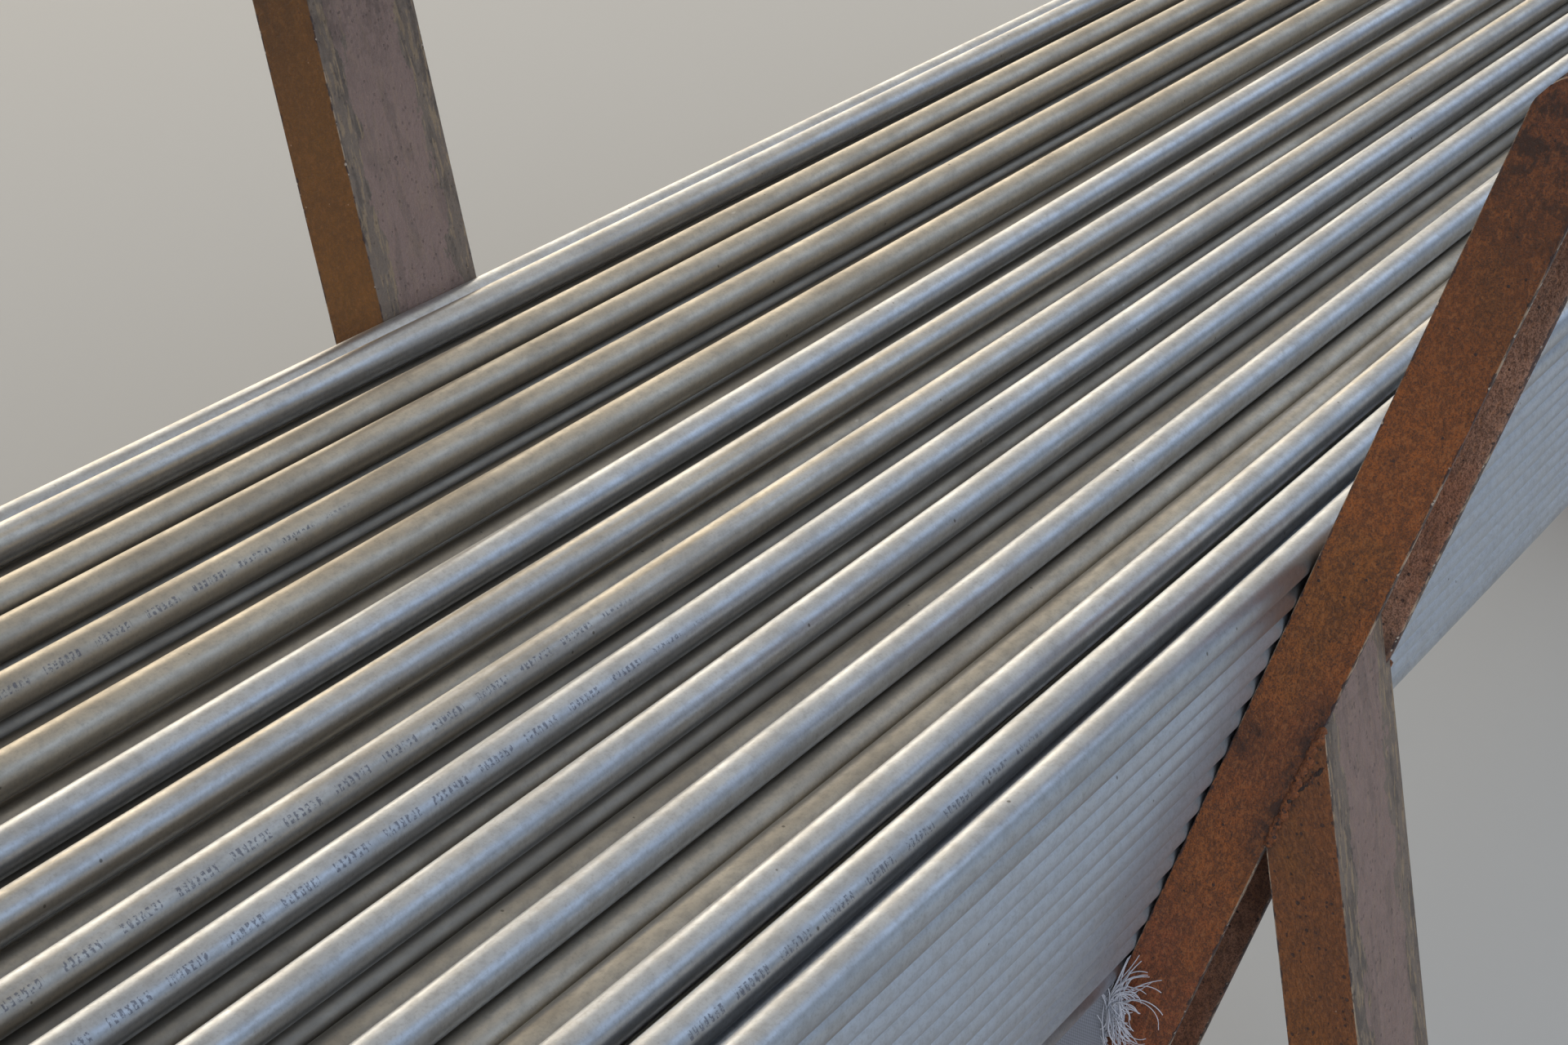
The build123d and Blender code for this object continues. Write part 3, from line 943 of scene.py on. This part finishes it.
class OBJECT_OT_rack_channels(bpy.types.Operator):
    """Make the rack's arms, struts, beams and sills from rolled channel"""

    bl_idname = "object.rack_channels"
    bl_label = "Rack channels"

    def execute(self, context):
        settings = context.scene.rack_settings
        generator = np.random.default_rng(7)
        for name in FRAMES:
            rack = RackFrame(name, settings)
            for side_name, side in SIDES.items():
                self.make_arm(rack, side_name, side, generator.uniform(0, 5, 3))
                self.make_strut(rack, side_name, side, generator.uniform(0, 5, 3))
            self.make_beam(rack, generator.uniform(0, 5, 3))
            self.make_sill(rack, generator.uniform(0, 5, 3))
        return {"FINISHED"}

    def finish(self, shell, settings, node):
        """Makes the piece that stands for a node."""
        shell.piece(node + "_channel", rack_material(settings), "rack_paint", (node,))

    def make_arm(self, rack, side_name, side, offset):
        """An arm from the sill to its rounded top, darkened by painted shade near the top and sooty along
        the weld at the strut. The left arms have the mustard rust."""
        arm, settings = rack.arm(side), rack.settings
        end = rack.arm_end(arm)
        top = (end[0] - arm.origin) @ arm.along
        weld = [(point - arm.origin) @ arm.along for point in rack.joint_line(side, 1.0)]

        def soot(loop, reach):
            past = np.maximum(np.maximum(min(weld) - reach, reach - max(weld)), 0.0)
            inward = np.maximum(settings.width - loop[:, 1] - 2 * MM, 0.0)
            near_weld = 1.1 * np.exp(-((past / (22 * MM)) ** 2) - (inward / (13 * MM)) ** 2)
            high = (reach - np.mean(weld) - 14 * MM) / (20 * MM)
            near_weld += 1.1 * np.exp(-(high**2) - ((loop[:, 1] - 9 * MM) / (15 * MM)) ** 2)
            # Over its top 0.26 m the arm darkens towards its top: painted shade
            return np.clip(np.maximum((reach - top + 0.26) / 0.22, near_weld), 0.0, 0.9)

        planes = ((arm.origin, (0.0, 0.0, 1.0)), end)
        shell = Shell()
        add_bar(
            shell,
            settings,
            arm,
            channel_outline(settings),
            planes,
            offset,
            stations=110,
            mustard=1.0 if side > 0 else 0.1,
            corner=ARM_CORNER_RADIUS,
            soot=soot,
        )
        self.finish(shell, settings, f"{rack.name}_{side_name}_arm")

    def make_strut(self, rack, side_name, side, offset):
        """A strut whose flanges end at the arm's toes and whose web runs on into the arm's hollow."""
        strut, arm, settings = rack.strut(side), rack.arm(side), rack.settings
        toes = (arm.origin + arm.outward * settings.width, arm.outward)
        roots = (arm.origin + arm.outward * (settings.web + settings.root), arm.outward)
        floor = (strut.origin, (0.0, 0.0, 1.0))
        shell = Shell()

        def soot(loop, reach):
            return 0.95 * np.exp(-(((reach[-1] - reach) / (11 * MM)) ** 2)) * (loop[:, 1] > 0.5 * MM)

        channel, tongue = channel_outline(settings), tongue_outline(settings)
        run = {"offset": offset, "mustard": 0.55}
        add_bar(shell, settings, strut, channel, (floor, toes), stations=90, soot=soot, **run)
        add_bar(shell, settings, strut, tongue, (toes, roots), stations=6, **run)
        self.finish(shell, settings, f"{rack.name}_{side_name}_strut")

    def make_beam(self, rack, offset):
        """The beam between the two arms' backs."""
        settings = rack.settings
        planes = [(arm.origin, arm.outward) for arm in (rack.arm(-1.0), rack.arm(1.0))]
        shell = Shell()
        outline = channel_outline(settings)
        add_bar(shell, settings, rack.beam(), outline, planes, offset, stations=24, mustard=0.4)
        self.finish(shell, settings, rack.name + "_cross_beam")

    def make_sill(self, rack, offset):
        """The sill from end to end."""
        settings, node = rack.settings, rack.name + "_floor_sill"
        planes = [((rack.x, place, 0.0), (0.0, 1.0, 0.0)) for place in node_span(node, 1)]
        shell = Shell()
        outline = channel_outline(settings)
        add_bar(shell, settings, rack.sill(), outline, planes, offset, stations=48, mustard=0.3)
        self.finish(shell, settings, node)


def add_weld(shell, start, end, outward, seed, *, radius, press, soot=0.9):
    """Adds a weld bead: a bar pressed against the face that it lies on, whose thickness and place change
    by ripples of about 4 mm and by slower uneven waves."""
    start, end = np.array(start, dtype=float), np.array(end, dtype=float)
    run = np.linalg.norm(end - start)
    share = np.linspace(0.0, 1.0, max(12, int(run / (1.3 * MM))))[:, None]
    generator = np.random.default_rng(seed)
    phase = generator.uniform(0, 2 * math.pi, 6)
    place = share * run
    ripple = np.sin(place * 2 * math.pi / (4.2 * MM) + phase[0])
    slow = np.sin(place * 2 * math.pi / (23 * MM) + phase[1])
    slow = slow + np.sin(place * 2 * math.pi / (9.5 * MM) + phase[2])
    side = np.cross((end - start) / run, outward)
    path = start + (end - start) * share + side * slow * radius * 0.22
    thick = radius * (0.85 + 0.12 * ripple[:, 0] + 0.12 * slow[:, 0])
    ends = np.minimum(share[:, 0], 1 - share[:, 0]) * run / (3 * MM)
    thick = thick * np.sqrt(np.clip(ends, 0.05, 1.0))
    points, faces = bead_surface(path, thick, 10, press, outward)
    count = len(points)
    plain = {"web_back": 0.0, "inside": 0.0, "edge_gap": 20 * MM, "soot": soot, "mustard": 0.0}
    values = {label: np.full(count, value) for label, value in plain.items()}
    shell.add(points, faces, member_place=points + generator.uniform(0, 5, 3), **values)


class OBJECT_OT_weld_beads(bpy.types.Operator):
    """Make the weld beads where the rack's members meet"""

    bl_idname = "object.weld_beads"
    bl_label = "Weld beads"

    def execute(self, context):
        settings = context.scene.rack_settings
        for number, name in enumerate(FRAMES):
            rack = RackFrame(name, settings)
            shell = Shell()
            seed = 200 + 40 * number
            for side in SIDES.values():
                for face in (-1.0, 1.0):
                    self.joint(shell, rack, side, face, seed)
                    self.feet(shell, rack, side, face, seed + 1)
                    self.beam_end(shell, rack, side, face, seed + 4)
                    seed += 8
            shell.piece(name + "_weld_beads", rack_material(settings), "rack_paint", crease=60.0)
        return {"FINISHED"}

    def joint(self, shell, rack, side, face, seed):
        """Along the arm's toe from the strut's inner toe to its back, with a dark run of slag below it that
        ends 30 mm down the strut's back."""
        outward = (face, 0.0, 0.0)
        low, high = rack.joint_line(side, face)
        add_weld(shell, low, high, outward, seed, radius=3.6 * MM, press=0.5, soot=0.35)
        middle = low + (high - low) * 0.42
        down = high - rack.strut(side).along * 30 * MM + rack.strut(side).outward * 3 * MM
        add_weld(shell, middle, down, outward, seed + 5, radius=2.0 * MM, press=0.4, soot=1.0)
        add_weld(shell, low, middle, outward, seed + 6, radius=1.8 * MM, press=1.0, soot=1.0)

    def feet(self, shell, rack, side, face, seed):
        """Along the sill beside the feet of the arm and the strut."""
        for number, member in enumerate((rack.arm(side), rack.strut(side))):
            across = face * (rack.settings.depth / 2 - 1 * MM)
            section = np.array([(across, 3 * MM), (across, rack.settings.width - 3 * MM)])
            reach = member.reach(section, (member.origin, (0.0, 0.0, 1.0)))
            near, far = member.start(section) + reach[:, None] * member.along
            add_weld(shell, near, far, (face, 0.0, 0.0), seed + number, radius=3.2 * MM, press=0.9)

    def beam_end(self, shell, rack, side, face, seed):
        """Up the beam's flange and along half of its web, against the arm's back."""
        arm, beam, settings = rack.arm(side), rack.beam(), rack.settings
        flank = face * (settings.depth / 2 - 0.5 * MM)
        section = np.array([(flank, settings.width - 2 * MM), (flank, 1 * MM)])
        reach = beam.reach(section, (arm.origin, arm.outward)) - side * 0.5 * MM
        low, high = beam.start(section) + reach[:, None] * beam.along
        add_weld(shell, low, high, (face, 0.0, 0.0), seed, radius=3.0 * MM, press=0.8)


# Limits of a loose thread's radius where it leaves the cloth, in millimetres
THREAD_RADII = (0.35, 0.65)


def add_thread(shell, path, thick, pale):
    """Adds one loose thread, of the given thickness and paleness at each point of its path."""
    sides = 6
    points, faces = bead_surface(path, thick, sides, up=(1.0, 0.05, 0.02))
    shell.add(points, faces, thread_end=np.concatenate([np.repeat(pale, sides), pale[[0, -1]]]))


def strip_path(low, high):
    """Line of a strip seen from its end, from the back of the beam to its hanging edge: a flat run, a
    quarter turn and a hanging run. Gives the distance along it, its place, its outward direction and how
    far down the hanging run it is."""
    fold = 9 * MM
    flat = high[0] - low[0] - fold
    drop = high[2] - low[2] - fold
    turn = fold * math.pi / 2
    across = np.linspace(0, flat + turn + drop, 56)
    bend = np.clip((across - flat) / fold, 0, math.pi / 2)
    past = np.maximum(across - flat - turn, 0)
    x = high[0] - np.minimum(across, flat) - fold * np.sin(bend)
    z = high[2] - fold * (1 - np.cos(bend)) - past
    return across, x, z, np.sin(bend), np.cos(bend), past / drop


def strip_faces(name, settings, number, frayed):
    """Both faces of a woven strip: its line is carried from end to end of the beam. Past the arms' near
    faces it grows wider, and its hanging part swings in and out by waves that grow towards its edge. A
    frayed strip is crumpled at its right end."""
    low, high = (np.array(corner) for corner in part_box(name + "_padding_strip"))
    arm_face = node_span(name + "_right_arm", 0)[0]
    beam_half = node_span(name + "_cross_beam", 1)[1] - 6 * MM
    across, x, z, out_x, out_z, hang = strip_path(low, high)
    wide = np.clip((arm_face - x) / (3 * MM), 0.0, 1.0)
    half = beam_half + (high[1] - beam_half) * wide
    share = np.linspace(-1.0, 1.0, 200)
    y = half[:, None] * share
    line, x, z, out_x, out_z, hang = (part[:, None] for part in (across, x, z, out_x, out_z, hang))
    wave = np.sin(y * 31 + number) + 0.6 * np.sin(y * 67 + 2 * number) + 0.35 * np.sin(y * 139 + z * 90)
    near_end = np.exp(-((1 + share) * 9) ** 2)
    crumple = near_end * np.sin(line * 190 + y * 60) if frayed else 0.0
    swing = (hang * (wave * 0.9 + 1.4) + hang**0.5 * crumple * 1.2) * MM
    swing = np.clip(swing, -0.2 * MM, 4.6 * MM) - 0.2 * MM
    hem = hang**3 * 3 * MM * (np.sin(y * 23 + 1) + 0.5 * np.sin(y * 57))
    rib = 0.25 * MM * np.sin(line * 2 * math.pi / settings.rib) * np.ones_like(y)
    layers = []
    for depth in (rib, np.full_like(rib, settings.thickness)):
        points = [x + out_x * depth + swing * out_x, y, z - out_z * depth + hem]
        layers.append(np.stack(points, axis=-1))
    return across, share, layers


class OBJECT_OT_padding_strips(bpy.types.Operator):
    """Lay the woven strips over the cross beams, the middle one with a frayed end"""

    bl_idname = "object.padding_strips"
    bl_label = "Padding strips"

    def execute(self, context):
        settings = context.scene.strip_settings
        for number, name in enumerate(FRAMES):
            frayed = name == "middle"
            across, share, layers = strip_faces(name, settings, number, frayed)
            piece = self.cloth(name + "_padding_strip", settings, across, share, layers)
            fringe = self.fringe(name, settings, layers[0], 61 + number, frayed)
        return {"FINISHED"}

    def cloth(self, node, settings, across, share, layers):
        """Closes the two faces of the strip into one thick sheet and gives it its flat pattern."""
        rows, columns = len(across), len(share)
        count = rows * columns
        index = np.arange(count).reshape(rows, columns)
        faces = [face[::-1] for face in grid_faces(rows, columns)]
        faces += grid_faces(rows, columns, first=count)
        ring = np.concatenate([index[0, :-1], index[:-1, -1], index[-1, :0:-1], index[:0:-1, 0]])
        following = np.roll(ring, -1)
        faces += np.stack([ring, following, following + count, ring + count], axis=1).tolist()
        material = strip_material(settings)
        points = np.stack(layers)
        piece = add_mesh(node + "_cloth", points, faces, material, (node,), crease=60.0)
        layer = piece.data.uv_layers.new(name="cloth")
        corner = np.empty(len(piece.data.loops), dtype=np.int64)
        piece.data.loops.foreach_get("vertex_index", corner)
        flat = np.stack([np.repeat(across, columns), np.tile(share * layers[0][-1, -1, 1], rows)], axis=1)
        layer.data.foreach_set("uv", flat[corner % count].astype(np.float32).ravel())
        return piece

    def fringe(self, name, settings, face, seed, frayed):
        """Loose threads along a strip's right end: each leaves the cloth sideways and curls by a growing
        turn."""
        generator = np.random.default_rng(seed)
        shell = Shell()
        edge = face[:, 0]
        hanging = edge[edge[:, 0] < edge[:, 0].min() + 5 * MM]
        count = settings.threads if frayed else settings.threads // 3
        longest = 34 * MM if frayed else 9 * MM
        for number in range(count):
            start = hanging[int(generator.integers(len(hanging)))]
            reach = longest * generator.uniform(0.12, 1.0) ** 2.0 + 3 * MM
            lift = generator.uniform(-1.25, 1.45)
            curl = generator.uniform(-1.6, 1.6)
            forward = generator.uniform(0.05, 0.55)
            share = np.linspace(0.0, 1.0, 12)
            heading = lift + curl * share**1.5
            step = np.stack([-forward * (1 - share), -np.cos(heading), np.sin(heading)], axis=1)
            path = start + (1 * MM, 2 * MM, 0) + np.cumsum(step, axis=0) * reach / 12
            path[:, 0] = np.minimum(path[:, 0], face[:, :, 0].min() + 2 * MM)
            thick = generator.uniform(*THREAD_RADII) * MM * (1 - 0.5 * share)
            add_thread(shell, path, thick, share)
        if frayed:
            self.tuft(shell, settings, hanging, generator)
        return shell.piece(name + "_frayed_threads", fray_material(settings), "strip_weave")

    def tuft(self, shell, settings, hanging, generator):
        """The bunch of yarn at the frayed end: threads that leave the strip's upper corner side by side,
        rise in front of the arm and fall over."""
        corner = hanging[np.argmax(hanging[:, 2])]
        for number in range(2 * settings.threads):
            start = corner + generator.uniform((-2.5, -9.0, -16.0), (1.0, 3.0, 3.0)) * MM
            share = np.linspace(0.0, 1.0, 16)
            lift = generator.choice((-1.25, 1.15)) + generator.uniform(-0.5, 0.5)
            heading = lift - generator.uniform(-0.6, 2.6) * share**1.4
            forward = generator.uniform(0.0, 0.3)
            step = np.stack([-forward * (1 - share), -np.abs(np.cos(heading)), np.sin(heading)], axis=1)
            reach = (12.0 + 40.0 * generator.uniform() ** 1.6) * MM
            path = start + np.cumsum(step, axis=0) * reach / 16
            outside = -trough_half(path[:, 2], bpy.context.scene.rack_settings.arm_lean) - 1.2 * MM
            beside = path[:, 2] > corner[2]
            path[:, 1] = np.where(beside, np.minimum(path[:, 1], outside), path[:, 1])
            path[:, 0] = np.minimum(path[:, 0], corner[0] + 1 * MM)
            thick = generator.uniform(*THREAD_RADII) * MM * (1 - 0.4 * share)
            add_thread(shell, path, thick, 0.3 + 0.7 * share)


# The stage

# Each lamp's name, its place, the point that it faces, its size, its power in watts and its colour
LAMPS = (
    ("warm_softbox", (17.0, 10.4, 3.1), (17.0, 0.0, 3.1), (46.0, 6.2), 2450, (1.0, 0.87, 0.68)),
    ("high_softbox", (14.0, 8.3, 8.4), (12.6, 0.0, 0.8), (36.0, 4.7), 660, (1.0, 0.89, 0.72)),
    ("cool_softbox", (14.0, -5.2, 7.6), (12.0, 0.0, 0.8), (36.0, 4.4), 470, (0.60, 0.76, 1.0)),
    ("side_softbox", (17.0, -10.0, 1.8), (17.0, 0.0, 1.8), (40.0, 3.4), 160, (0.62, 0.79, 1.0)),
    ("fill_softbox", (-8.0, -9.0, 5.45), (0.0, 0.0, 0.7), (9.0, 6.0), 780, (0.84, 0.91, 1.0)),
    ("top_softbox", (6.5, 0.0, 5.2), (6.5, 0.0, 0.0), (10.0, 5.0), 80, (1.0, 0.94, 0.84)),
)


class OBJECT_OT_tube_stage(bpy.types.Operator):
    """Set up the floor, the lamps and the camera"""

    bl_idname = "object.tube_stage"
    bl_label = "Stage"

    def execute(self, context):
        settings = context.scene.stage_settings
        add_floor(settings)
        add_world(context.scene, settings)
        for lamp in LAMPS:
            add_lamp(*lamp)
        add_camera(context.scene, settings)
        context.scene.view_settings.view_transform = "Standard"
        return {"FINISHED"}


def add_floor(settings):
    """A plain pale floor that is far larger than the object."""
    half = 40.0
    corners = [(-half, -half, 0), (half, -half, 0), (half, half, 0), (-half, half, 0)]
    mesh = bpy.data.meshes.new("floor")
    mesh.from_pydata(corners, [], [(0, 1, 2, 3)])
    material, tree, shader = new_material("floor_paint")
    shader.inputs["Base Color"].default_value = (*settings.floor, 1.0)
    shader.inputs["Roughness"].default_value = 0.9
    mesh.materials.append(material)
    floor = bpy.data.objects.new("floor", mesh)
    bpy.context.scene.collection.objects.link(floor)


def add_world(scene, settings):
    """An even pale sky."""
    world = bpy.data.worlds.new("studio")
    world.use_nodes = True
    background = world.node_tree.nodes["Background"]
    background.inputs["Color"].default_value = (*settings.sky, 1.0)
    background.inputs["Strength"].default_value = settings.sky_strength
    scene.world = world


def facing(place, back, up):
    """A matrix that stands at a place and looks against the back direction."""
    back = np.array(back, dtype=float) / np.linalg.norm(back)
    side = np.cross(up, back)
    side = side / np.linalg.norm(side)
    turn = np.eye(4)
    turn[:3, 0], turn[:3, 1], turn[:3, 2], turn[:3, 3] = side, np.cross(back, side), back, place
    return Matrix(turn.tolist())


def add_lamp(name, place, target, size, power, colour):
    """A soft rectangular lamp that faces a point."""
    lamp = bpy.data.lights.new(name, "AREA")
    lamp.shape = "RECTANGLE"
    lamp.size, lamp.size_y = size
    lamp.energy = power
    lamp.color = colour
    holder = bpy.data.objects.new(name, lamp)
    bpy.context.scene.collection.objects.link(holder)
    back = np.array(place) - np.array(target)
    up = (0.0, 0.0, 1.0) if np.hypot(*back[:2]) > 0.1 else (0.0, 1.0, 0.0)
    holder.matrix_world = facing(place, back, up)


def add_camera(scene, settings):
    """A camera at the photograph's viewing angle: its view line is turned by yaw and pitch from the tubes'
    axis, then rolled."""
    data = bpy.data.cameras.new("camera")
    data.sensor_fit = "HORIZONTAL"
    data.sensor_width = 36.0
    data.lens = settings.lens
    data.clip_start, data.clip_end = 0.05, 200.0
    cos_yaw, sin_yaw = math.cos(settings.yaw), math.sin(settings.yaw)
    cos_pitch, sin_pitch = math.cos(settings.pitch), math.sin(settings.pitch)
    forward = np.array((cos_yaw * cos_pitch, sin_yaw * cos_pitch, -sin_pitch))
    level = np.array((sin_yaw, -cos_yaw, 0.0))
    down = np.cross(forward, level)
    up = math.sin(settings.roll) * level - math.cos(settings.roll) * down
    camera = bpy.data.objects.new("camera", data)
    scene.collection.objects.link(camera)
    camera.matrix_world = facing(settings.place, -forward, up)
    scene.camera = camera


class VIEW3D_PT_tube_bundle(bpy.types.Panel):
    """Buttons for every group of pieces"""

    bl_label = "Tube bundle"
    bl_idname = "VIEW3D_PT_tube_bundle"
    bl_space_type = "VIEW_3D"
    bl_region_type = "UI"
    bl_category = "Tube bundle"

    def draw(self, context):
        for operator in OPERATORS:
            self.layout.operator(operator.bl_idname)


GROUPS = {
    "tube_settings": TubeSettings,
    "rack_settings": RackSettings,
    "strip_settings": StripSettings,
    "stage_settings": StageSettings,
}
OPERATORS = (
    OBJECT_OT_outer_tubes,
    OBJECT_OT_inner_tubes,
    OBJECT_OT_rack_channels,
    OBJECT_OT_weld_beads,
    OBJECT_OT_padding_strips,
    OBJECT_OT_tube_stage,
)


def register():
    """Registers the settings, the operators and the panel."""
    for name, group in GROUPS.items():
        bpy.utils.register_class(group)
        setattr(bpy.types.Scene, name, PointerProperty(type=group))
    for operator in OPERATORS:
        bpy.utils.register_class(operator)
    bpy.utils.register_class(VIEW3D_PT_tube_bundle)


def unregister():
    """Takes the panel, the operators and the settings away again."""
    bpy.utils.unregister_class(VIEW3D_PT_tube_bundle)
    for operator in reversed(OPERATORS):
        bpy.utils.unregister_class(operator)
    for name, group in reversed(GROUPS.items()):
        delattr(bpy.types.Scene, name)
        bpy.utils.unregister_class(group)


def main():
    """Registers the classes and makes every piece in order."""
    register()
    bpy.ops.object.outer_tubes()
    bpy.ops.object.inner_tubes()
    bpy.ops.object.rack_channels()
    bpy.ops.object.weld_beads()
    bpy.ops.object.padding_strips()
    bpy.ops.object.tube_stage()


if __name__ == "__main__":
    main()
